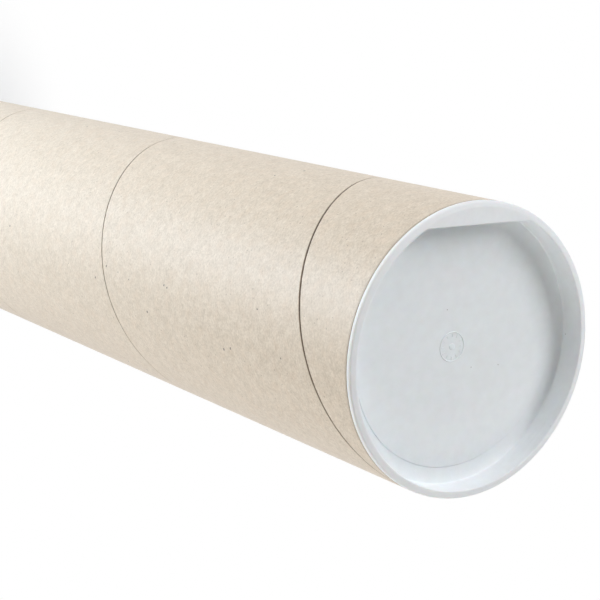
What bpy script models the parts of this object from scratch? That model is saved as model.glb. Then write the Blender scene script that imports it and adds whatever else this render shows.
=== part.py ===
"""A spiral-wound paperboard mailing tube with a moulded push-in plug in each end.

The tube stands on its end. The origin is the centre of the bottom plug's outer face, +Z runs up
the tube and +Y points to the side on which the plugs have their grip shelf. Units are metres.
"""
from math import acos, ceil, cos, floor, pi, radians, sin, sqrt, tau

import bmesh
import bpy

# Tube: three glued plies of paperboard, the outer one closed by a butt seam that runs as a helix
BORE_RADIUS = 0.0505
TUBE_WALL = 0.0015
TUBE_LENGTH = 0.630
SEAM_PITCH = 0.1454
SEAM_GAP = 0.0006
SEAM_DEPTH = 0.0004
SEAM_DROP = 0.0349          # from the top plug's outer face down to the seam, at SEAM_AZIMUTH
SEAM_AZIMUTH = radians(160.3)

# Plug: a shallow cup of one wall, with a flange over the tube's end and a grip shelf
PLUG_WALL = 0.0010
PLUG_FLOOR = 0.0008         # at its thinnest, under the crease
FLANGE_THICKNESS = 0.00185  # at its outer edge, with the edge's round
FLANGE_RISE = 0.00025       # how much it climbs from its edge up to the lip
FLANGE_EDGE_ROUND = 0.0009
LIP_WIDTH = 0.0011          # the flat ring round the opening, on which the plug can stand
LIP_ROUND = 0.0004
RECESS_DEPTH = 0.0097
CORNER_ROUND = 0.0010
BORDER_RISE = 0.0003        # how much the floor's border climbs towards the wall
BORDER_WIDTH = 0.0060       # from the wall in to the crease, the ring line round the floor
CREASE_DEPTH = 0.0003
LEAD_IN = 0.0006
SHELF_REACH = 0.0053        # how far the shelf stands in from the wall, at its middle
SHELF_THICKNESS = 0.0012

FIT_GAP = 0.0003            # between the plug's skirt and the bore, and flange and tube end
OVERRUN = 0.002             # how far the seam's cutter runs past what it cuts

FACETS = 72                 # round the tube and the plugs, so that the bore and skirt match
ROUND_STEPS = 2             # straight steps in each small fillet

TUBE_RADIUS = BORE_RADIUS + TUBE_WALL
SKIRT_RADIUS = BORE_RADIUS - FIT_GAP
RECESS_RADIUS = SKIRT_RADIUS - PLUG_WALL
CREASE_RADIUS = RECESS_RADIUS - BORDER_WIDTH
SHELF_CHORD = RECESS_RADIUS - SHELF_REACH
PLUG_DEPTH = RECESS_DEPTH + CREASE_DEPTH + PLUG_FLOOR
FLANGE_FOOT = FLANGE_RISE + FLANGE_THICKNESS
TUBE_BOTTOM = FLANGE_FOOT + FIT_GAP
TUBE_TOP = TUBE_BOTTOM + TUBE_LENGTH
TOTAL_HEIGHT = TUBE_TOP + FIT_GAP + FLANGE_FOOT


def clear_scene():
    """Remove whatever objects the file opened with."""
    for old in list(bpy.data.objects):
        bpy.data.objects.remove(old, do_unlink=True)


def principled(name, colour, roughness, metallic=0.0):
    """A Principled material with one colour, roughness and metallic value."""
    material = bpy.data.materials.new(name)
    material.use_nodes = True
    shader = material.node_tree.nodes["Principled BSDF"]
    shader.inputs["Base Color"].default_value = (*colour, 1.0)
    shader.inputs["Roughness"].default_value = roughness
    shader.inputs["Metallic"].default_value = metallic
    material.diffuse_color = (*colour, 1.0)
    return material


def new_object(name, bm, material=None):
    """Make an object of a bmesh, shaded smooth but for its sharp edges."""
    bmesh.ops.recalc_face_normals(bm, faces=bm.faces)
    mesh = bpy.data.meshes.new(name)
    bm.to_mesh(mesh)
    bm.free()
    mesh.shade_smooth()
    mesh.set_sharp_from_angle(angle=radians(30))
    thing = bpy.data.objects.new(name, mesh)
    bpy.context.collection.objects.link(thing)
    if material:
        mesh.materials.append(material)
    return thing


def fillet(centre_r, centre_z, radius, start_deg, end_deg):
    """Points of a round between two straight runs of a turned profile, as (r, z) pairs."""
    angles = [radians(start_deg + (end_deg - start_deg) * k / ROUND_STEPS) for k in range(ROUND_STEPS + 1)]
    return [(centre_r + radius * cos(a), centre_z + radius * sin(a)) for a in angles]


def turn(bm, profile):
    """Turn (r, z) points about Z. A point on the axis becomes one vertex, a pole."""
    rings = []
    for r, z in profile:
        if r == 0:
            rings.append([bm.verts.new((0, 0, z))] * FACETS)
        else:
            angles = [tau * k / FACETS for k in range(FACETS)]
            rings.append([bm.verts.new((r * cos(a), r * sin(a), z)) for a in angles])
    closed = profile[0][0] != 0
    pairs = list(zip(rings, rings[1:] + rings[:1])) if closed else list(zip(rings, rings[1:]))
    for low, high in pairs:
        for k in range(FACETS):
            n = (k + 1) % FACETS
            corners = [low[k], low[n], high[n], high[k]]
            bm.faces.new(list(dict.fromkeys(corners)))


def boolean(target, tool, operation):
    """Join or cut the target by a tool, which is hidden and left out of the finished model."""
    modifier = target.modifiers.new(operation.lower(), "BOOLEAN")
    modifier.operation = operation
    modifier.solver = "EXACT"
    modifier.object = tool
    tool.hide_render = True
    tool.display_type = "WIRE"


def seam_height(turns):
    """Height of the seam's middle after some turns from +X. It climbs like a right-hand thread."""
    return TOTAL_HEIGHT - SEAM_DROP + SEAM_PITCH * (turns - SEAM_AZIMUTH / tau)


def seam_cutter():
    """A square-section helix that leaves the outer ply's seam as a fine groove."""
    climb = SEAM_PITCH / (tau * TUBE_RADIUS)
    half_height = SEAM_GAP * sqrt(1 + climb ** 2) / 2
    inner, outer = TUBE_RADIUS - SEAM_DEPTH, TUBE_RADIUS + OVERRUN
    first = floor((TUBE_BOTTOM - OVERRUN - seam_height(0)) / SEAM_PITCH * FACETS)
    last = ceil((TUBE_TOP + OVERRUN - seam_height(0)) / SEAM_PITCH * FACETS)
    bm = bmesh.new()
    sections = []
    for step in range(first, last + 1):
        turns = (step + 0.5) / FACETS
        c, s, z = cos(tau * turns), sin(tau * turns), seam_height(turns)
        corners = [(inner, -half_height), (outer, -half_height), (outer, half_height), (inner, half_height)]
        sections.append([bm.verts.new((r * c, r * s, z + dz)) for r, dz in corners])
    for near, far in zip(sections, sections[1:]):
        for k in range(4):
            n = (k + 1) % 4
            bm.faces.new([near[k], near[n], far[n], far[k]])
    bm.faces.new(sections[0])
    bm.faces.new(sections[-1])
    return new_object("seam_cutter", bm)


def make_tube(kraft):
    """The wound tube: one wall, cut square at both ends, with the outer ply's seam let into it."""
    bm = bmesh.new()
    turn(bm, [(BORE_RADIUS, TUBE_BOTTOM), (TUBE_RADIUS, TUBE_BOTTOM),
              (TUBE_RADIUS, TUBE_TOP), (BORE_RADIUS, TUBE_TOP)])
    tube = new_object("tube", bm, kraft)
    boolean(tube, seam_cutter(), "DIFFERENCE")
    return tube


def plug_profile():
    """The cup and flange as (r, z) points, with z = 0 on the lip and -z into the tube."""
    crease_foot = -RECESS_DEPTH - CREASE_DEPTH
    border_top = -RECESS_DEPTH + BORDER_RISE
    points = [(0, -RECESS_DEPTH), (CREASE_RADIUS - CREASE_DEPTH, -RECESS_DEPTH), (CREASE_RADIUS, crease_foot)]
    points += fillet(RECESS_RADIUS - CORNER_ROUND, border_top + CORNER_ROUND, CORNER_ROUND, -90, 0)
    points += fillet(RECESS_RADIUS + LIP_ROUND, -LIP_ROUND, LIP_ROUND, 180, 90)
    points.append((RECESS_RADIUS + LIP_WIDTH, 0))
    edge_r, edge_z = TUBE_RADIUS - FLANGE_EDGE_ROUND, -FLANGE_RISE - FLANGE_EDGE_ROUND
    points += fillet(edge_r, edge_z, FLANGE_EDGE_ROUND, 90, 0)
    points += [(TUBE_RADIUS, -FLANGE_FOOT), (SKIRT_RADIUS, -FLANGE_FOOT)]
    points += [(SKIRT_RADIUS, -PLUG_DEPTH + LEAD_IN), (SKIRT_RADIUS - LEAD_IN, -PLUG_DEPTH), (0, -PLUG_DEPTH)]
    return points


def shelf_plate(name):
    """The grip shelf: a flat segment of a circle, flush with the lip and rooted in it."""
    root_radius = RECESS_RADIUS + (LIP_ROUND + LIP_WIDTH) / 2
    half_chord = sqrt(root_radius ** 2 - SHELF_CHORD ** 2)
    half_angle = acos(SHELF_CHORD / root_radius)
    count = ceil(FACETS * half_angle / pi)
    angles = [pi / 2 - half_angle + 2 * half_angle * k / count for k in range(1, count)]
    outline = [(half_chord, SHELF_CHORD)] + [(root_radius * cos(a), root_radius * sin(a)) for a in angles]
    outline.append((-half_chord, SHELF_CHORD))
    bm = bmesh.new()
    face = bm.faces.new([bm.verts.new((x, y, 0)) for x, y in outline])
    extruded = bmesh.ops.extrude_face_region(bm, geom=[face])
    moved = [v for v in extruded["geom"] if isinstance(v, bmesh.types.BMVert)]
    bmesh.ops.translate(bm, verts=moved, vec=(0, 0, -SHELF_THICKNESS))
    return new_object(name, bm)


def make_plug(name, plastic, height, upside_down):
    """One plug, with its outer face at the given height. Its object's origin is on the slide axis."""
    bm = bmesh.new()
    turn(bm, plug_profile())
    plug = new_object(name, bm, plastic)
    shelf = shelf_plate(name + "_shelf")
    shelf.parent = plug
    boolean(plug, shelf, "UNION")
    plug.location = (0, 0, height)
    plug.rotation_euler = (0, pi if upside_down else 0, 0)
    return plug


def main():
    clear_scene()
    kraft = principled("kraft_paper", colour=(0.66, 0.58, 0.48), roughness=0.85)
    plastic = principled("white_polyethylene", colour=(0.76, 0.79, 0.80), roughness=0.45)
    make_tube(kraft)
    make_plug("top_plug", plastic, height=TOTAL_HEIGHT, upside_down=False)
    make_plug("bottom_plug", plastic, height=0, upside_down=True)


main()
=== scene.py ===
# %% [markdown]
# # A cardboard mailing tube
#
# A tube like this is wound, not rolled. Strips of paper run slantwise round a steel rod and are glued
# on top of each other, and a saw cuts the endless tube to length. A moulded plastic plug is pushed
# into each end. So the object has three pieces: the tube and two plugs. This script dresses the
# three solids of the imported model. Each lesson below says what a piece or a finish is on the real
# thing, and why it is made the way it is.

from math import ceil, cos, degrees, floor, hypot, pi, radians, sin, tan, tau

import bmesh
import bpy
import numpy as np
from mathutils import Matrix, Vector


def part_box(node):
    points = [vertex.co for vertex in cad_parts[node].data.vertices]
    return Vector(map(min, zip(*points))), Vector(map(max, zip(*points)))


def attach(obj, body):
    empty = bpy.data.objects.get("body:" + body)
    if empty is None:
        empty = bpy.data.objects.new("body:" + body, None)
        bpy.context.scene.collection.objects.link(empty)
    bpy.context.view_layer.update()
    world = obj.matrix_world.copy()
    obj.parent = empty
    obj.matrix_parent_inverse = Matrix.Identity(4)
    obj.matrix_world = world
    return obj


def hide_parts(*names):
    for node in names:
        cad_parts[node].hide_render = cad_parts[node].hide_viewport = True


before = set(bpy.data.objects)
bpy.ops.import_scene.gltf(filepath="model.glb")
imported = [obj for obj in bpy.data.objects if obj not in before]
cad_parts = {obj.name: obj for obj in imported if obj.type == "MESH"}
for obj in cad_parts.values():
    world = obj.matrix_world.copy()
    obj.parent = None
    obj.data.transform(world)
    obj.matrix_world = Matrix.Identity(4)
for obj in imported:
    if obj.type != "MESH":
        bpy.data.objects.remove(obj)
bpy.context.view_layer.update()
tube_low, tube_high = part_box("tube")
top_low, top_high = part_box("top_plug")
bottom_low, bottom_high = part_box("bottom_plug")
outer_radius = tube_high.x
bore_radius = min(hypot(v.co.x, v.co.y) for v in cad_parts["tube"].data.vertices)
print("outer radius", round(outer_radius, 5), "bore", round(bore_radius, 5), "height", round(top_high.z, 4))

# %% [markdown]
# ## The camera
#
# The photograph shows the tube lying down, seen past its end, with its far end outside the
# picture. The model stands on its end, because a lying tube would roll. So the camera leans over
# instead: it looks down past the top plug from the same side, and it is rolled until the line that
# was level in the photograph, across the plug's face, is level again. Its place and its lens come
# from the outlines of the tube and the plug in the photograph. The place is reckoned from the middle
# of the flange's outline, which lies a little below its lip.

# %% Set the camera
PHOTO_WIDTH_PX = 600
FOCAL_LENGTH_PX = 1674
SENSOR_WIDTH_MM = 36.0
CAMERA_FROM_FACE = Vector((-0.3618, 0.1296, 0.4277))
AIM_FROM_FACE = Vector((-0.0719, 0.0246, 0.0))
LEVEL_LINE_TURN = radians(-5.3)
OUTLINE_DROP = 0.0007

face_middle = Vector((0, 0, top_high.z - OUTLINE_DROP))


def add_camera():
    """Stand the camera beside the top plug, rolled so that the level line stays level."""
    data = bpy.data.cameras.new("camera")
    data.sensor_width = SENSOR_WIDTH_MM
    data.lens = SENSOR_WIDTH_MM * FOCAL_LENGTH_PX / PHOTO_WIDTH_PX
    camera = bpy.data.objects.new("camera", data)
    bpy.context.collection.objects.link(camera)
    look = (AIM_FROM_FACE - CAMERA_FROM_FACE).normalized()
    level = Vector((cos(LEVEL_LINE_TURN), sin(LEVEL_LINE_TURN), 0))
    up = level.cross(look).normalized()
    right = look.cross(up)
    turned = Matrix((right, up, -look)).transposed().to_4x4()
    camera.matrix_world = Matrix.Translation(face_middle + CAMERA_FROM_FACE) @ turned
    bpy.context.scene.camera = camera
    return camera


camera = add_camera()
print("camera at", [round(x, 4) for x in camera.matrix_world.translation], "lens", round(camera.data.lens, 2))

# %% [markdown]
# ## Nodes written as sums
#
# Both Geometry Nodes and materials are trees of small sums. Written node by node they are hard to
# read, so a small class wraps a socket: `a + b`, `1 - a` or `a < b` on it adds the Math node that
# does it. One method adds every other kind of node, its settings first and then its sockets. A tree
# of Geometry Nodes also gets a named input for each size, so that the sizes can be read off it.

# %% A socket that can be reckoned with
class Value:
    """An output socket of a node tree. Sums and comparisons on it add Math nodes to the tree."""

    def __init__(self, net, socket):
        self.net = net
        self.socket = socket

    def other(self, output):
        """Another output of the same node."""
        return Value(self.net, self.socket.node.outputs[output])

    def math(self, operation, *rest):
        return self.net.math(operation, self, *rest)

    def __add__(self, other):
        return self.net.math("ADD", self, other)

    def __sub__(self, other):
        return self.net.math("SUBTRACT", self, other)

    def __rsub__(self, other):
        return self.net.math("SUBTRACT", other, self)

    def __mul__(self, other):
        return self.net.math("MULTIPLY", self, other)

    def __truediv__(self, other):
        return self.net.math("DIVIDE", self, other)

    def __rtruediv__(self, other):
        return self.net.math("DIVIDE", other, self)

    def __gt__(self, other):
        return self.net.math("GREATER_THAN", self, other)

    def __lt__(self, other):
        return self.net.math("LESS_THAN", self, other)

    def least(self, other):
        return self.net.math("MINIMUM", self, other)

    def most(self, other):
        return self.net.math("MAXIMUM", self, other)

    def ease(self, low, high):
        """0 below low, 1 above high and a smooth rise between them."""
        sockets = {"Value": self, "From Min": low, "From Max": high}
        return self.net.node("ShaderNodeMapRange", sockets, interpolation_type="SMOOTHSTEP")

    __radd__ = __add__
    __rmul__ = __mul__


class Net:
    """A node tree, of a material or of Geometry Nodes."""

    def __init__(self, tree):
        self.tree = tree

    def node(self, kind, sockets=None, output=0, **settings):
        """Add a node of any kind. Sockets are given by name or number, as a value or a link."""
        made = self.tree.nodes.new(kind)
        for name, value in settings.items():
            setattr(made, name, value)
        for key, value in (sockets or {}).items():
            if isinstance(value, Value):
                self.tree.links.new(value.socket, made.inputs[key])
            else:
                made.inputs[key].default_value = value
        return Value(self, made.outputs[output]) if made.outputs else made

    def math(self, operation, *values):
        return self.node("ShaderNodeMath", dict(enumerate(values)), operation=operation)

    def xyz(self, vector):
        """The three parts of a vector."""
        parts = self.node("ShaderNodeSeparateXYZ", {0: vector})
        return parts, parts.other(1), parts.other(2)

    def vector(self, x, y, z):
        return self.node("ShaderNodeCombineXYZ", {0: x, 1: y, 2: z})

    def blend(self, share, first, second):
        """Mix two colours: all first at 0, all second at 1."""
        sockets = {0: share, 6: first, 7: second}
        return self.node("ShaderNodeMix", sockets, output=2, data_type="RGBA")


# %% Geometry trees with named sizes
CM3_PER_M3 = 1e6


def geometry_net(name, sizes):
    """A Geometry Nodes tree with one named input for each size. Returns the net and its inputs."""
    tree = bpy.data.node_groups.new(name, "GeometryNodeTree")
    tree.interface.new_socket("Geometry", in_out="OUTPUT", socket_type="NodeSocketGeometry")
    for label, value in sizes.items():
        kind = "NodeSocketInt" if isinstance(value, int) else "NodeSocketFloat"
        tree.interface.new_socket(label, in_out="INPUT", socket_type=kind)
    net = Net(tree)
    group_input = tree.nodes.new("NodeGroupInput")
    return net, {label: Value(net, group_input.outputs[label]) for label in sizes}


def grow(name, net, sizes):
    """Run a tree with its sizes on an empty object, and keep what it makes as a plain mesh."""
    piece = bpy.data.objects.new(name, bpy.data.meshes.new(name))
    bpy.context.collection.objects.link(piece)
    modifier = piece.modifiers.new("grow", "NODES")
    modifier.node_group = net.tree
    for item in net.tree.interface.items_tree:
        if item.in_out == "INPUT":
            modifier[item.identifier] = sizes[item.name]
    evaluated = piece.evaluated_get(bpy.context.evaluated_depsgraph_get())
    mesh = bpy.data.meshes.new_from_object(evaluated)
    piece.modifiers.clear()
    piece.data = mesh
    mesh.name = name
    return piece


def report_mesh(piece):
    """Print how large a mesh is, and whether it is closed with its faces pointing out."""
    bm = bmesh.new()
    bm.from_mesh(piece.data)
    open_edges = sum(1 for e in bm.edges if not e.is_manifold)
    triangles = sum(len(f.verts) - 2 for f in bm.faces)
    volume_cm3 = bm.calc_volume(signed=True) * CM3_PER_M3
    bm.free()
    print(piece.name, triangles, "triangles,", open_edges, "open edges,", round(volume_cm3, 1), "cm3")


# %% [markdown]
# ## Kraft paper
#
# The outer ply is light kraft paper. Close up it is never one colour: the pulp lies in soft clouds,
# single fibres show lighter and darker, and now and then a brown speck of bark is caught in it.
# Each of these is its own layer of noise at its own size. The fibres are drawn on the piece's own
# map, which is the paper strip laid out flat, so they run with the strip and not with the tube. A
# picture of real paper would show the same specks again and again, and noise doesn't repeat.

# %% Layers that the finishes share
def shader_net(name):
    """A new material with a Principled shader. Returns the material, its net and the shader node."""
    material = bpy.data.materials.new(name)
    material.use_nodes = True
    net = Net(material.node_tree)
    return material, net, material.node_tree.nodes["Principled BSDF"]


def wire(net, shader, **sockets):
    """Feed a shader's sockets. Underscores in the names stand for spaces."""
    for name, value in sockets.items():
        socket = shader.inputs[name.replace("_", " ")]
        if isinstance(value, Value):
            net.tree.links.new(value.socket, socket)
        else:
            socket.default_value = value


def noise(net, place, size, detail=2.0, roughness=0.5):
    """Noise from 0 to 1 whose blotches are about one size across, in metres."""
    sockets = {"Vector": place, "Scale": 1 / size, "Detail": detail, "Roughness": roughness}
    return net.node("ShaderNodeTexNoise", sockets)


def speckle(net, place, ground, spacing, size, share, strength, colour):
    """Lay small round specks on a ground colour, at a share of the cells of a scattered pattern."""
    sockets = {"Vector": place, "Scale": 1 / spacing, "Randomness": 1.0}
    cells = net.node("ShaderNodeTexVoronoi", sockets)
    chance, _, _ = net.xyz(cells.other("Color"))
    grown = size / spacing * (0.5 + noise(net, place, size, detail=1.0))
    speck = (cells < grown) * (chance < share)
    return net.blend(speck * strength, ground, colour)


def bump_from(net, height, depth, strength):
    """A normal that follows a height, where 1 stands for the depth in metres."""
    return net.node("ShaderNodeBump", {"Height": height, "Distance": depth, "Strength": strength})


# %% Make the kraft paper
CLOUD_SIZE = 0.0035
GRAIN_SIZE = 0.0009
FIBRE_SIZE = 0.0008
FIBRE_SQUEEZE = (0.45, 1.0, 1.0)
BLUSH_SIZE = 0.004
GRAIN_DEPTH = 0.0001
TONE_LOW = 0.36
TONE_CONTRAST = 3.6
BLUSH_LOW = 0.45
BLUSH_STRENGTH = 0.55
# The dark band at the tube's ends is painted shade, where the plugs' flanges meet the tube.
JOINT_SHADE_START, JOINT_SHADE_END = 0.0001, 0.0012
BLUSH = (0.68, 0.50, 0.35, 1)
JOINT_SHADE = (0.20, 0.14, 0.09, 1)
# The seam gap's colour: the darker ply under it, deepened to near black as painted shade in the narrow gap.
UNDER_PLY_AND_GAP_SHADE = (0.045, 0.022, 0.008, 1)
BARK = dict(spacing=0.003, size=0.0003, share=0.5, strength=0.5, colour=(0.20, 0.13, 0.08, 1))
SPLINTERS = dict(spacing=0.009, size=0.0005, share=0.35, strength=0.85, colour=(0.06, 0.035, 0.02, 1))
LINT = dict(spacing=0.005, size=0.0003, share=0.4, strength=0.4, colour=(0.95, 0.92, 0.86, 1))


def kraft_material(name, light, dark, outer_ply):
    """Unbleached paper: clouds, grain, fibres and specks between a light and a dark tone.

    The outer ply is darkened near the sawn ends, as painted shade where the plugs' flanges meet it.
    The gap of its seam shows the darker ply under it, deepened to near black by painted shade."""
    material, net, shader = shader_net(name)
    place = net.node("ShaderNodeTexCoord", output="Object")
    strip = net.node("ShaderNodeUVMap", uv_map="paper") if outer_ply else place
    along_fibres = net.node("ShaderNodeMapping", {"Vector": strip, "Scale": FIBRE_SQUEEZE})
    clouds = noise(net, place, CLOUD_SIZE)
    grain = noise(net, place, GRAIN_SIZE, detail=3.0, roughness=0.8)
    fibres = noise(net, along_fibres, FIBRE_SIZE, roughness=0.65)
    tone = 0.2 * clouds + 0.54 * grain + 0.26 * fibres
    paper = net.blend((tone - TONE_LOW) * TONE_CONTRAST, dark, light)
    paper = net.blend((noise(net, place, BLUSH_SIZE) - BLUSH_LOW) * BLUSH_STRENGTH, paper, BLUSH)
    for specks in (BARK, SPLINTERS, LINT):
        paper = speckle(net, place, paper, **specks)
    roughness = 0.42 + 0.2 * grain
    if outer_ply:
        _, _, z = net.xyz(place)
        from_end = (z - tube_low.z).least(tube_high.z - z)
        # Painted shade of the joint with the plug's flange, darkest at the sawn end.
        joint_shade = (1 - from_end.ease(JOINT_SHADE_START, JOINT_SHADE_END)) * (0.15 + 0.5 * grain)
        paper = net.blend(joint_shade, paper, JOINT_SHADE)
        # The seam gap shows the under ply, with painted shade of the narrow gap in its near-black colour.
        gap = net.node("ShaderNodeAttribute", output="Fac", attribute_name="gap")
        paper = net.blend(gap, paper, UNDER_PLY_AND_GAP_SHADE)
        roughness = roughness + 0.45 * gap
    bump = bump_from(net, grain * 0.6 + fibres * 0.4, GRAIN_DEPTH, strength=0.65)
    wire(net, shader, Base_Color=paper, Roughness=roughness, Normal=bump)
    wire(net, shader, IOR=1.6, Specular_IOR_Level=0.9)
    return material


kraft = kraft_material("kraft_paper", (0.75, 0.66, 0.547, 1), (0.495, 0.41, 0.312, 1), outer_ply=True)
liner = kraft_material("inner_paper", (0.62, 0.53, 0.43, 1), (0.46, 0.38, 0.30, 1), outer_ply=False)
print("paper:", kraft.name, liner.name)

# %% [markdown]
# At the sawn ends the wall shows its plies edge on: thin rings of a darker, rougher brown, with the
# glue lines between them darker still. The rings could be cut into the mesh, but they are far
# thinner than a millimetre, so they are drawn: their colour follows the distance from the axis.

# %% Make the sawn edge
PLY_COUNT = 4
PLY_WOBBLE_SIZE = 0.004
TORN_SIZE = 0.0005
TORN_DEPTH = 0.0001
CARD_DARK = (0.42, 0.33, 0.24, 1)
CARD_LIGHT = (0.66, 0.55, 0.43, 1)
GLUE = (0.27, 0.20, 0.14, 1)


def sawn_edge_material():
    """The tube's end: concentric plies and glue lines, roughened by the saw."""
    material, net, shader = shader_net("sawn_plies")
    place = net.node("ShaderNodeTexCoord", output="Object")
    x, y, _ = net.xyz(place)
    radius = (x * x + y * y).math("SQRT")
    wobble = noise(net, place, PLY_WOBBLE_SIZE) * 0.25
    ply = (radius - bore_radius) * (PLY_COUNT / (outer_radius - bore_radius)) + wobble
    glue = 1 - ply.math("PINGPONG", 0.5).ease(0.0, 0.14)
    torn = noise(net, place, TORN_SIZE, detail=3.0, roughness=0.7)
    card = net.blend(torn, CARD_DARK, CARD_LIGHT)
    card = net.blend(glue * 0.5, card, GLUE)
    bump = bump_from(net, torn - glue * 0.5, TORN_DEPTH, strength=0.8)
    wire(net, shader, Base_Color=card, Roughness=0.9, Normal=bump)
    return material


sawn = sawn_edge_material()
print("sawn edge:", sawn.name)

# %% [markdown]
# ## The wound tube
#
# The outer ply is one strip of paper, laid round the tube so that each turn's edge just meets the
# last. The gap between the edges is the fine dark line that climbs round the tube. That is a rule, so
# Geometry Nodes build it: a flat grid is the strip, its long side wound as a helix and its short side
# reaching from one seam to the next. Near the seam the rows lie close and dip into the gap. The saw
# cuts both ends square: what lies beyond is deleted and what crosses is pushed back to the cut. Last
# the open rims are drawn inwards to the bore and joined, so the wall is solid.

# %% Sizes of the winding
SEAM_PITCH = 0.1454
SEAM_GAP = 0.0006
SEAM_DEPTH = 0.0004
SEAM_DROP = 0.0349
SEAM_AZIMUTH_SHARE = 160.3 / 360

seam_at_x = top_high.z - SEAM_DROP - SEAM_PITCH * SEAM_AZIMUTH_SHARE
first_turn = floor((tube_low.z - seam_at_x) / SEAM_PITCH) - 1
last_turn = ceil((tube_high.z - seam_at_x) / SEAM_PITCH)
winding = {
    "Outer Radius": outer_radius,
    "Bore Radius": bore_radius,
    "Bottom": tube_low.z,
    "Top": tube_high.z,
    "Seam Pitch": SEAM_PITCH,
    "Seam Gap": SEAM_GAP,
    "Seam Depth": SEAM_DEPTH,
    "Seam Softness": 0.00012,
    "Seam Zone": 0.0009,
    "Start Height": seam_at_x + first_turn * SEAM_PITCH,
    "Turns": last_turn - first_turn,
    "Columns per Turn": 192,
    "Rows": 28,
}
print("strip of", winding["Turns"], "turns from height", round(winding["Start Height"], 4))


# %% Wind the strip
MERGE_DISTANCE = 0.00002
ZONE_ROW_SHARE = 1 / 3
WAVERS_PER_TURN = 40
LEAST_GAP_SHARE = 0.3
WAVER_SHARE = 0.4
OPENED_SHARE = 0.25
OPENING_START, OPENING_END = 0.12, 0.02
SAWN_CORNER = radians(50)


def strip_across(net, size, share):
    """Height over the strip's lower seam. A third of the rows crowd round the seam on each side."""
    middle_share = 1 - 2 * ZONE_ROW_SHARE
    zone, band = size["Seam Zone"], size["Seam Pitch"] - 2 * size["Seam Zone"]
    low_part = share.least(ZONE_ROW_SHARE) / ZONE_ROW_SHARE * zone
    band_part = (share - ZONE_ROW_SHARE).most(0).least(middle_share) / middle_share * band
    high_part = (share - ZONE_ROW_SHARE - middle_share).most(0) / ZONE_ROW_SHARE * zone
    return low_part + band_part + high_part


def wound_skin(net, size):
    """The outer ply as an open skin, cut square at both ends, with its seam let in.

    The seam's gap wavers in width as it runs, and opens a little more towards the top end."""
    columns = size["Columns per Turn"] * size["Turns"] + 1
    sockets = {"Size X": 1.0, "Size Y": 1.0, "Vertices X": columns, "Vertices Y": size["Rows"]}
    grid = net.node("GeometryNodeMeshGrid", sockets)
    x, y, _ = net.xyz(net.node("GeometryNodeInputPosition"))
    turns = (x + 0.5) * size["Turns"]
    across = strip_across(net, size, y + 0.5)
    from_seam = across.least(size["Seam Pitch"] - across)
    seam_turn = turns + (across > size["Seam Pitch"] / 2)
    sockets = {"W": seam_turn * WAVERS_PER_TURN, "Detail": 3.0}
    waver = net.node("ShaderNodeTexNoise", sockets, noise_dimensions="1D")
    height = size["Start Height"] + size["Seam Pitch"] * turns + across
    opened = height.ease(size["Top"] - OPENING_START, size["Top"] - OPENING_END)
    half_gap = size["Seam Gap"] * (LEAST_GAP_SHARE + WAVER_SHARE * waver + opened * OPENED_SHARE)
    filled = from_seam.ease(half_gap - size["Seam Softness"], half_gap + size["Seam Softness"])
    radius = size["Outer Radius"] - size["Seam Depth"] * (1 - filled)
    angle = turns * tau
    round_trip = size["Outer Radius"] * tau
    slope = (round_trip * round_trip + size["Seam Pitch"] * size["Seam Pitch"]).math("SQRT")
    along_strip = turns * slope + across * size["Seam Pitch"] / slope
    across_strip = across * round_trip / slope
    flat = net.vector(along_strip, across_strip, 0)
    sockets = {"Geometry": grid, "Name": "paper", "Value": flat}
    mapped = net.node("GeometryNodeStoreNamedAttribute", sockets, data_type="FLOAT2", domain="CORNER")
    beyond = (height > size["Top"] - MERGE_DISTANCE).most(height < size["Bottom"] + MERGE_DISTANCE)
    sockets = {"Geometry": mapped, "Name": "beyond", "Value": beyond}
    marked = net.node("GeometryNodeStoreNamedAttribute", sockets, data_type="BOOLEAN", domain="POINT")
    sockets = {"Geometry": marked, "Name": "gap", "Value": 1 - filled}
    marked = net.node("GeometryNodeStoreNamedAttribute", sockets, data_type="FLOAT", domain="POINT")
    cut_height = height.least(size["Top"]).most(size["Bottom"])
    wound_place = net.vector(radius * angle.math("COSINE"), radius * angle.math("SINE"), cut_height)
    wound = net.node("GeometryNodeSetPosition", {"Geometry": marked, "Position": wound_place})
    outside = net.node("GeometryNodeInputNamedAttribute", {"Name": "beyond"}, data_type="BOOLEAN")
    kept = net.node("GeometryNodeDeleteGeometry", {"Geometry": wound, "Selection": outside}, domain="FACE")
    return net.node("GeometryNodeMergeByDistance", {"Geometry": kept, "Distance": MERGE_DISTANCE})


def close_wall(net, size, skin):
    """Draw the open rims inwards as the sawn ends, then join them through the bore.

    Returns the closed wall, and where the sawn ends and the bore are in it."""
    faces_at_edge = net.node("GeometryNodeInputMeshEdgeNeighbors")
    rim = net.node("FunctionNodeCompare", {2: faces_at_edge, 3: 1}, data_type="INT", operation="EQUAL")
    sockets = {"Mesh": skin, "Selection": rim, "Offset Scale": 0.0}
    ends = net.node("GeometryNodeExtrudeMesh", sockets, mode="EDGES")
    x, y, z = net.xyz(net.node("GeometryNodeInputPosition"))
    inwards = size["Bore Radius"] / (x * x + y * y).math("SQRT")
    at_bore = net.vector(x * inwards, y * inwards, z)
    sockets = {"Geometry": ends, "Selection": ends.other("Top"), "Position": at_bore}
    drawn_in = net.node("GeometryNodeSetPosition", sockets)
    low_rim = ends.other("Top") * (z < (size["Bottom"] + size["Top"]) / 2)
    sockets = {"Mesh": drawn_in, "Selection": low_rim, "Offset Scale": 0.0}
    bore = net.node("GeometryNodeExtrudeMesh", sockets, mode="EDGES")
    sockets = {"Geometry": bore, "Selection": bore.other("Top"), "Position": net.vector(x, y, size["Top"])}
    lifted = net.node("GeometryNodeSetPosition", sockets)
    closed = net.node("GeometryNodeMergeByDistance", {"Geometry": lifted, "Distance": MERGE_DISTANCE})
    return closed, ends.other("Side"), bore.other("Side")


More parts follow.
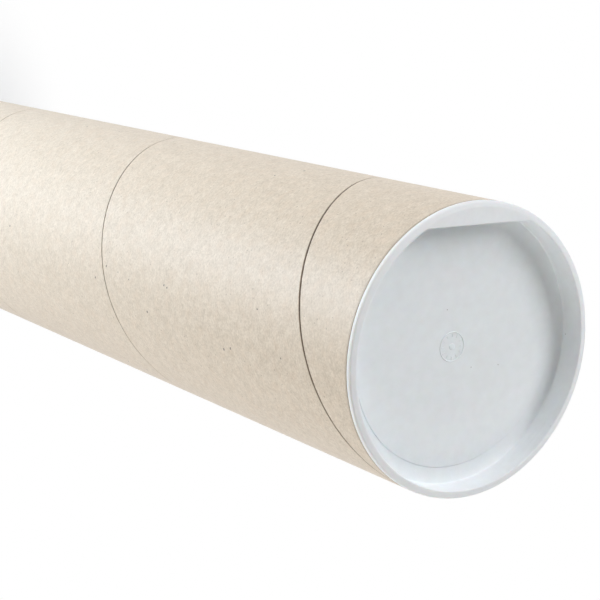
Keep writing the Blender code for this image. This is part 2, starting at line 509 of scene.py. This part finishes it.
def wind_tube():
    """Build the tree, run it and shade the result smooth but for its sawn edges."""
    net, size = geometry_net("wound_tube", winding)
    wall, sawn_ends, bore = close_wall(net, size, wound_skin(net, size))
    whole = net.node("GeometryNodeRealizeInstances", {"Geometry": wall})
    whole = net.node("GeometryNodeSetMaterial", {"Geometry": whole, "Material": kraft})
    whole = net.node("GeometryNodeSetMaterial", {"Geometry": whole, "Selection": sawn_ends, "Material": sawn})
    whole = net.node("GeometryNodeSetMaterial", {"Geometry": whole, "Selection": bore, "Material": liner})
    net.node("NodeGroupOutput", {"Geometry": whole})
    tube = grow("kraft_tube", net, winding)
    tube.data.shade_smooth()
    tube.data.set_sharp_from_angle(angle=SAWN_CORNER)
    return tube


tube = wind_tube()
report_mesh(tube)

# %% [markdown]
# ## The plugs' plastic
#
# The plugs are moulded in white polyethylene. It is a satin, slightly cool white, and a little light
# goes into it and comes out again beside where it went in, so its shadows stay soft. A moulded
# surface isn't perfectly even: it has a fine orange peel, and here and there a speck of dirt sits in
# it. One flat white would look like paint, so faint clouds move both the colour and the gloss.

# %% Make the plastic
HAZE_SIZE = 0.004
PEEL_SIZE = 0.0011
PEEL_DEPTH = 0.00007
LIGHT_SPREAD = 0.002
COOL_WHITE = (0.84, 0.865, 0.882, 1)
CLEAR_WHITE = (0.885, 0.915, 0.937, 1)
DIRT = dict(spacing=0.006, size=0.0002, share=0.4, strength=0.7, colour=(0.22, 0.20, 0.17, 1))


def plastic_material(name):
    """White polyethylene: a faint haze and orange peel, satin, with specks of dirt."""
    material, net, shader = shader_net(name)
    place = net.node("ShaderNodeTexCoord", output="Object")
    haze = noise(net, place, HAZE_SIZE, detail=4.0, roughness=0.6)
    white = net.blend((haze - 0.25) * 2, COOL_WHITE, CLEAR_WHITE)
    white = speckle(net, place, white, **DIRT)
    bump = bump_from(net, noise(net, place, PEEL_SIZE), PEEL_DEPTH, strength=0.35)
    wire(net, shader, Base_Color=white, Roughness=0.46 + 0.12 * haze, Normal=bump)
    wire(net, shader, Subsurface_Weight=0.12, Subsurface_Scale=LIGHT_SPREAD, Specular_IOR_Level=0.45)
    return material


plastic = plastic_material("white_polyethylene")
print("plastic:", plastic.name)

# %% [markdown]
# ## The plugs
#
# A plug is one moulding: a shallow cup, a flange that lies on the tube's end, and a flat grip shelf
# that closes one side of the cup, with room for a fingertip behind it. Nearly all of it is turned,
# so its mesh is a set of rings, from the middle of the floor out, up the wall, over the lip and the
# flange and back underneath. The shelf is made by the same rings: where the shelf is, the rings of
# the lip reach inwards to a straight line. The line and the lip's circle are blended where they
# meet, as a mould's corners are. A shelf joined on by a Boolean would leave sharp, ragged seams
# there, and rings have none.

# %% Sizes of the plug
SKIRT_GAP = 0.0003
PLUG_WALL = 0.0010
FLANGE_DEPTH = 0.0022
FLANGE_TILT = radians(11)
FLANGE_EDGE_ROUND = 0.0009
FLANGE_FOOT_ROUND = 0.00015
LIP_WIDTH = 0.00075
LIP_ROUND = 0.0003
KNEE_WIDTH = 0.0003
RECESS_DEPTH = 0.0097
CORNER_ROUND = 0.0006
BORDER_RISE = 0.0003
BORDER_WIDTH = 0.0060
CREASE_DEPTH = 0.0003
CREASE_WIDTH = 0.0004
CREASE_TURN = radians(218)
SUPPORT = 0.00012
SHELF_REACH = 0.0053
SHELF_THICKNESS = 0.0012
SHELF_EDGE_ROUND = 0.00025
SHELF_CORNER_BLEND = 0.0003
POCKET_ROUND = 0.0003
POCKET_CLEARANCE = 0.0006
RING_SPREAD = 0.0002
LEAD_IN = 0.0006
LEAD_IN_START_DEG = -18
RIDGE_DEPTHS = (0.0026, 0.0047, 0.0068)
RIDGE_HEIGHT = 0.00006
RIDGE_WIDTH = 0.0009
RIDGE_TURN = radians(311)
RIDGE_SPREAD = radians(18)
BEAD_SHARES = (0.35, 0.62)
BEAD_HEIGHT = 0.0002
BEAD_WIDTH = 0.0006
COLUMNS = 432
CREASE_ROWS = 7
WALL_ROWS = 34
SKIRT_ROWS = 34
FLOOR_RING_SHARES = (0.02, 0.2, 0.4, 0.6, 0.8, 0.92)
UNDERSIDE_RING_SHARES = (0.75, 0.5, 0.25, 0.02)
SHELF_RING_SHARES = (0.2, 0.4, 0.6, 0.8)
KNEE_RING_SHARES = (0.25, 0.5, 0.75, 1.0)
MOULD_CORNER = radians(40)

flange_radius = top_high.x
plug_depth = top_high.z - top_low.z
skirt_radius = bore_radius - SKIRT_GAP
recess_radius = skirt_radius - PLUG_WALL
crease_radius = recess_radius - BORDER_WIDTH
shelf_chord = recess_radius - SHELF_REACH
print("plug radius", flange_radius, "depth", round(plug_depth, 5), "shelf chord", round(shelf_chord, 5))


# %% The opening and its rings
LEAST_SINE = 0.5


def opening_radius(angle):
    """How far out the opening reaches: to the lip's circle, or to the shelf's straight edge.

    Away from the shelf the sine is held at a least value, where that edge lies beyond the circle."""
    to_chord = shelf_chord / np.maximum(np.sin(angle), LEAST_SINE)
    share = np.clip(0.5 + (to_chord - recess_radius) / (2 * SHELF_CORNER_BLEND), 0, 1)
    blended = to_chord + (recess_radius - to_chord) * share
    return blended - SHELF_CORNER_BLEND * share * (1 - share)


def fillet(centre_r, centre_z, radius_r, radius_z, start_deg, end_deg, steps):
    """Rings of a rounded corner, as (r, z) pairs. A radius may differ from column to column."""
    turned = [radians(start_deg + (end_deg - start_deg) * k / steps) for k in range(steps + 1)]
    return [(centre_r + radius_r * cos(a), centre_z + radius_z * sin(a)) for a in turned]


def humps(z, places, height, width):
    """Height of a row of small rounded humps at the given places along z."""
    return sum(height * np.exp(-((z - place) / width * 2) ** 2) for place in places)


def straight(start, end):
    """Two rings just inside the ends of a straight run, which keep its shading straight."""
    (r0, z0), (r1, z1) = start, end
    short = SUPPORT / np.hypot(r1 - r0, z1 - z0)
    return [(r0 + (r1 - r0) * share, z0 + (z1 - z0) * share) for share in (short, 1 - short)]


def floor_rings(angle):
    """From the middle of the floor down the crease's small step and up the border to the wall.

    The mould's core sat a hair askew, so the step is deeper on one side than on the other."""
    depth = CREASE_DEPTH * np.abs(np.cos((angle - CREASE_TURN) / 2)) ** 3
    rings = [(share * crease_radius, -RECESS_DEPTH) for share in FLOOR_RING_SHARES]
    low_edge = (crease_radius + CREASE_WIDTH / 2, -RECESS_DEPTH - depth)
    rings += straight((rings[-1][0], -RECESS_DEPTH), (crease_radius - CREASE_WIDTH / 2, -RECESS_DEPTH))
    for share in np.linspace(0, 1, CREASE_ROWS):
        dip = depth * (1 - cos(pi * share)) / 2
        rings.append((crease_radius + (share - 0.5) * CREASE_WIDTH, -RECESS_DEPTH - dip))
    corner_z = -RECESS_DEPTH + BORDER_RISE + CORNER_ROUND
    corner = fillet(recess_radius - CORNER_ROUND, corner_z, CORNER_ROUND, CORNER_ROUND, -90, 0, steps=9)
    return rings + straight(low_edge, corner[0]) + corner


def wall_and_lip_rings(angle):
    """Up the wall, in under the shelf where there is one, and round the lip to the flange.

    Where there is none, the shelf's rings are spread a little, so that no two lie in one place."""
    opening = opening_radius(angle)
    reach = recess_radius - opening
    no_shelf = np.clip(1 - reach / (3 * SHELF_CORNER_BLEND), 0, 1)
    spread = RING_SPREAD * no_shelf
    pocket_round = np.minimum(POCKET_ROUND, reach / 2)
    edge_round = np.minimum(SHELF_EDGE_ROUND, reach / 2)
    wall_low = -RECESS_DEPTH + BORDER_RISE + CORNER_ROUND
    wall_high = -SHELF_THICKNESS - POCKET_CLEARANCE
    rings = []
    from_ridges = np.abs((angle - RIDGE_TURN + pi) % tau - pi)
    ridge_height = RIDGE_HEIGHT * np.exp(-(from_ridges / RIDGE_SPREAD) ** 2)
    for z in np.linspace(wall_low + SUPPORT, wall_high, WALL_ROWS):
        rings.append((recess_radius - humps(z, [-d for d in RIDGE_DEPTHS], ridge_height, RIDGE_WIDTH), z))
    pocket_r, pocket_z = recess_radius - pocket_round, -SHELF_THICKNESS - spread - POCKET_ROUND
    rings += fillet(pocket_r, pocket_z, pocket_round, POCKET_ROUND, 0, 90, steps=4)
    for share in SHELF_RING_SHARES:
        r = pocket_r * (1 - share) + (opening + edge_round) * share
        rings.append((r, -SHELF_THICKNESS + spread * (2 * share - 1)))
    low_edge = -SHELF_THICKNESS + spread + SHELF_EDGE_ROUND
    rings += fillet(opening + edge_round, low_edge, edge_round, SHELF_EDGE_ROUND, -90, -180, steps=4)
    rings += fillet(opening + LIP_ROUND, -LIP_ROUND, LIP_ROUND, LIP_ROUND, 180, 90, steps=6)
    return rings + [(opening + LIP_ROUND + SUPPORT, 0.0)]


def flange_and_skirt_rings():
    """Over the flange, down the skirt with its grip beads, and under the floor."""
    knee, round_radius = recess_radius + LIP_WIDTH, flange_radius - FLANGE_EDGE_ROUND
    slope = tan(FLANGE_TILT)
    rings = [(knee - KNEE_WIDTH / 2 - SUPPORT, 0.0), (knee - KNEE_WIDTH / 2, 0.0)]
    for share in KNEE_RING_SHARES:
        rings.append((knee + (share - 0.5) * KNEE_WIDTH, -slope * KNEE_WIDTH * share ** 2 / 2))
    face_end = round_radius + FLANGE_EDGE_ROUND * sin(FLANGE_TILT)
    face_end_z = -slope * (face_end - knee)
    rings += straight((knee + KNEE_WIDTH / 2, -slope * KNEE_WIDTH / 2), (face_end, face_end_z))
    round_z = face_end_z - FLANGE_EDGE_ROUND * cos(FLANGE_TILT)
    edge_start = 90 - degrees(FLANGE_TILT)
    rings += fillet(round_radius, round_z, FLANGE_EDGE_ROUND, FLANGE_EDGE_ROUND, edge_start, 0, steps=12)
    foot_round = FLANGE_FOOT_ROUND
    foot_z = -FLANGE_DEPTH + foot_round
    rings += straight((flange_radius, round_z), (flange_radius, foot_z))
    rings += fillet(flange_radius - foot_round, foot_z, foot_round, foot_round, 0, -90, steps=3)
    rings.append((skirt_radius + foot_round, -FLANGE_DEPTH))
    skirt_top, skirt_end = -FLANGE_DEPTH - foot_round, -plug_depth + LEAD_IN
    beads = [skirt_top + (skirt_end - skirt_top) * share for share in BEAD_SHARES]
    for z in np.linspace(skirt_top, skirt_end, SKIRT_ROWS):
        rings.append((skirt_radius + humps(z, beads, BEAD_HEIGHT, BEAD_WIDTH), z))
    rings += fillet(skirt_radius - LEAD_IN, skirt_end, LEAD_IN, LEAD_IN, LEAD_IN_START_DEG, -90, steps=4)
    return rings + [(share * skirt_radius, -plug_depth) for share in UNDERSIDE_RING_SHARES]


# %% Turn the rings into a plug
def turned_mesh(name, rings, angle, low_pole, high_pole):
    """A closed mesh of rings of the same number of columns, with a pole at each end."""
    count = len(angle)
    points = [(0, 0, low_pole)]
    for r, z in rings:
        r, z = np.broadcast_to(r, count), np.broadcast_to(z, count)
        points += list(zip(r * np.cos(angle), r * np.sin(angle), z))
    points.append((0, 0, high_pole))
    around = [(k, (k + 1) % count) for k in range(count)]
    faces = [(0, 1 + n, 1 + k) for k, n in around]
    for ring in range(len(rings) - 1):
        near, far = 1 + ring * count, 1 + (ring + 1) * count
        faces += [(near + k, near + n, far + n, far + k) for k, n in around]
    last = 1 + (len(rings) - 1) * count
    faces += [(last + k, last + n, len(points) - 1) for k, n in around]
    mesh = bpy.data.meshes.new(name)
    mesh.from_pydata([tuple(float(c) for c in p) for p in points], [], faces)
    bm = bmesh.new()
    bm.from_mesh(mesh)
    bmesh.ops.recalc_face_normals(bm, faces=bm.faces)
    bm.to_mesh(mesh)
    bm.free()
    return mesh


def place_mesh(mesh, height, upside_down):
    """Put a mesh made in the plug's own frame where its plug is."""
    turned = Matrix.Rotation(pi if upside_down else 0, 4, "Y")
    mesh.transform(Matrix.Translation((0, 0, height)) @ turned)


def make_plug(name, height, upside_down):
    """One plug, with its outer face at the given height."""
    angle = np.arange(COLUMNS) * tau / COLUMNS
    rings = floor_rings(angle) + wall_and_lip_rings(angle) + flange_and_skirt_rings()
    mesh = turned_mesh(name, rings, angle, -RECESS_DEPTH, -plug_depth)
    place_mesh(mesh, height, upside_down)
    mesh.materials.append(plastic)
    mesh.shade_smooth()
    mesh.set_sharp_from_angle(angle=MOULD_CORNER)
    plug = bpy.data.objects.new(name, mesh)
    bpy.context.collection.objects.link(plug)
    return plug


top_plug = make_plug("end_plug_top", top_high.z, False)
bottom_plug = make_plug("end_plug_bottom", bottom_low.z, True)
report_mesh(top_plug)
report_mesh(bottom_plug)

# %% [markdown]
# ## The mould's mark
#
# A moulding carries a small raised mark near the middle of its floor. This one is a plain ring with
# ticks round it and a pip in the middle, like the face of a clock without its numbers. Ticks that
# repeat round a circle are a rule, so Geometry Nodes place them: one bar, turned and copied.

# %% Raise the mark
mark = {
    "Ring Radius": 0.0052,
    "Ring Thickness": 0.00022,
    "Ticks": 12,
    "Tick Length": 0.0011,
    "Tick Width": 0.00035,
    "Tick Height": 0.0003,
    "Pip Radius": 0.0012,
}
PIP_FLATNESS = 0.16
MARK_PLACE_SHARE = Vector((-0.04, 0.0, 0))


def make_mark(name, height, upside_down):
    """The ring, its ticks and the pip, half sunk in the floor of a plug."""
    net, size = geometry_net(name, mark)
    sockets = {"Resolution": 72, "Radius": size["Ring Radius"]}
    circle = net.node("GeometryNodeCurvePrimitiveCircle", sockets)
    sockets = {"Resolution": 8, "Radius": size["Ring Thickness"]}
    section = net.node("GeometryNodeCurvePrimitiveCircle", sockets)
    ring = net.node("GeometryNodeCurveToMesh", {"Curve": circle, "Profile Curve": section})
    bar_size = net.vector(size["Tick Length"], size["Tick Width"], size["Tick Height"])
    bar = net.node("GeometryNodeMeshCube", {"Size": bar_size})
    sockets = {"Vertices": size["Ticks"], "Radius": size["Ring Radius"] - size["Tick Length"]}
    spots = net.node("GeometryNodeMeshCircle", sockets)
    turned = net.vector(0, 0, net.node("GeometryNodeInputIndex") * (tau / mark["Ticks"]))
    bars = net.node("GeometryNodeInstanceOnPoints", {"Points": spots, "Instance": bar, "Rotation": turned})
    sockets = {"Segments": 24, "Rings": 12, "Radius": size["Pip Radius"]}
    ball = net.node("GeometryNodeMeshUVSphere", sockets)
    pip = net.node("GeometryNodeTransform", {"Geometry": ball, "Scale": (1.0, 1.0, PIP_FLATNESS)})
    joined = net.node("GeometryNodeJoinGeometry")
    for part in (pip, bars, ring):
        net.tree.links.new(part.socket, joined.socket.node.inputs[0])
    whole = net.node("GeometryNodeRealizeInstances", {"Geometry": joined})
    whole = net.node("GeometryNodeSetMaterial", {"Geometry": whole, "Material": plastic})
    net.node("NodeGroupOutput", {"Geometry": whole})
    piece = grow(name, net, mark)
    at = MARK_PLACE_SHARE * recess_radius - Vector((0, 0, RECESS_DEPTH))
    piece.data.transform(Matrix.Translation(at))
    place_mesh(piece.data, height, upside_down)
    piece.data.shade_smooth()
    piece.data.set_sharp_from_angle(angle=MOULD_CORNER)
    return piece


top_mark = make_mark("mould_mark_top", top_high.z, False)
bottom_mark = make_mark("mould_mark_bottom", bottom_low.z, True)
report_mesh(top_mark)
report_mesh(bottom_mark)

# %% [markdown]
# ## Floor, world and lamps
#
# The photograph has a plain white background. More light would whiten the floor, but it would
# bleach the tube as well. So the floor and the world are white to the camera only, and near the
# tube's foot the floor shows its own shading, with the tube's shadow. The lamps are large and soft
# and hang all round the tube. The strongest is beyond the picture's upper right corner, in front of
# the plug's face, and the two named back are beyond its lower edge. Three small ones near the
# tube's foot brighten the paper towards the picture's left.

# %% Lay the floor
FLOOR_DROP = 0.0001
FLOOR_REACH = 4.0
FLOOR_GREY = (0.88, 0.88, 0.88, 1)
WHITE = (1, 1, 1, 1)
SHADOW_INNER = 0.085
SHADOW_OUTER = 0.16


def camera_white(net):
    """1 for rays that should see the white background: straight, mirrored or through."""
    path = net.node("ShaderNodeLightPath")
    return path.most(path.other("Is Glossy Ray")).most(path.other("Is Transmission Ray"))


def make_floor():
    """A wide floor, shaded near the tube's foot and white to the camera beyond."""
    material, net, shader = shader_net("studio_floor")
    x, y, _ = net.xyz(net.node("ShaderNodeTexCoord", output="Object"))
    away = (x * x + y * y).math("SQRT").ease(SHADOW_INNER, SHADOW_OUTER)
    wire(net, shader, Base_Color=FLOOR_GREY, Roughness=1.0, Specular_IOR_Level=0.0)
    glow = net.node("ShaderNodeEmission", {"Color": WHITE, "Strength": 1.0})
    own = Value(net, shader.outputs[0])
    mixed = net.node("ShaderNodeMixShader", {0: away * camera_white(net), 1: own, 2: glow})
    net.tree.links.new(mixed.socket, net.tree.nodes["Material Output"].inputs["Surface"])
    mesh = bpy.data.meshes.new("floor")
    signs = [(-1, -1), (1, -1), (1, 1), (-1, 1)]
    corners = [(x_sign * FLOOR_REACH, y_sign * FLOOR_REACH, -FLOOR_DROP) for x_sign, y_sign in signs]
    mesh.from_pydata(corners, [], [(0, 1, 2, 3)])
    mesh.materials.append(material)
    floor_plane = bpy.data.objects.new("floor", mesh)
    bpy.context.collection.objects.link(floor_plane)
    return floor_plane


def make_world():
    """White where it is seen, and dark to every other ray, so that only the lamps light the tube."""
    world = bpy.data.worlds.new("studio")
    world.use_nodes = True
    net = Net(world.node_tree)
    net.tree.nodes.clear()
    seen = net.node("ShaderNodeBackground", {"Color": WHITE, "Strength": 1.0})
    dark = net.node("ShaderNodeBackground", {"Color": WHITE, "Strength": 0.0})
    mixed = net.node("ShaderNodeMixShader", {0: camera_white(net), 1: dark, 2: seen})
    net.node("ShaderNodeOutputWorld", {"Surface": mixed})
    bpy.context.scene.world = world


floor_plane = make_floor()
make_world()
print("floor", FLOOR_REACH * 2, "m wide")


# %% Hang the lamps
LAMPS = {
    "key": {"place": (0.80, 0.80, 1.63), "size": 0.9, "watts": 13.7, "colour": (0.97, 0.98, 1.0)},
    "key_low": {"place": (1.03, 1.03, 1.18), "size": 0.9, "watts": 3.4, "colour": (1.0, 0.94, 0.89)},
    "shelf_side": {"place": (0.0, 1.45, 1.18), "size": 0.9, "watts": 5.8, "colour": (0.94, 0.96, 1.0)},
    "left": {"place": (-1.45, 0.0, 1.18), "size": 0.9, "watts": 4.0, "colour": (1.0, 0.95, 0.89)},
    "left_level": {"place": (-1.59, 0.0, 0.64), "size": 0.9, "watts": 2.2, "colour": (1.0, 1.0, 1.0)},
    "back": {"place": (0.0, -1.13, 1.63), "size": 0.9, "watts": 6.3, "colour": (1.0, 0.99, 0.95)},
    "back_level": {"place": (0.0, -1.59, 0.64), "size": 0.9, "watts": 10.4, "colour": (1.0, 1.0, 1.0)},
    "paper": {"place": (-0.74, 0.42, 0.30), "size": 0.5, "watts": 2.9, "colour": (1.0, 0.88, 0.66)},
    "paper_near": {"place": (-0.43, 0.25, 0.20), "size": 0.3, "watts": 1.6, "colour": (0.50, 0.72, 1.0)},
    "paper_low": {"place": (-0.49, 0.09, 0.05), "size": 0.3, "watts": 0.4, "colour": (0.95, 0.95, 1.0)},
}
AIM_HEIGHT = 0.5


def add_lamp(name, place, size, watts, colour):
    """A round soft lamp, turned towards the tube's axis. A high lamp looks down, a low one level."""
    data = bpy.data.lights.new(name, "AREA")
    data.shape = "DISK"
    data.size = size
    data.energy = watts
    data.color = colour
    lamp = bpy.data.objects.new(name, data)
    bpy.context.collection.objects.link(lamp)
    lamp.location = place
    away = Vector(place) - Vector((0, 0, min(place[2], AIM_HEIGHT)))
    lamp.rotation_euler = away.to_track_quat("Z", "Y").to_euler()
    return lamp


lamps = [add_lamp(name, **setting) for name, setting in LAMPS.items()]
bpy.context.scene.view_settings.view_transform = "Standard"
print("lamps:", [lamp.name for lamp in lamps])

# %% [markdown]
# ## What rides on what
#
# Each piece is hung on the body that carries it, and the imported solids are hidden.

# %% Hand the pieces over
for piece, body, slot in ((tube, "tube", "kraft_paperboard"),
                          (top_plug, "top_plug", "white_plastic"),
                          (bottom_plug, "bottom_plug", "white_plastic"),
                          (top_mark, "top_plug", "white_plastic"),
                          (bottom_mark, "bottom_plug", "white_plastic")):
    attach(piece, body)
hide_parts("tube")
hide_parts("top_plug")
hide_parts("bottom_plug")
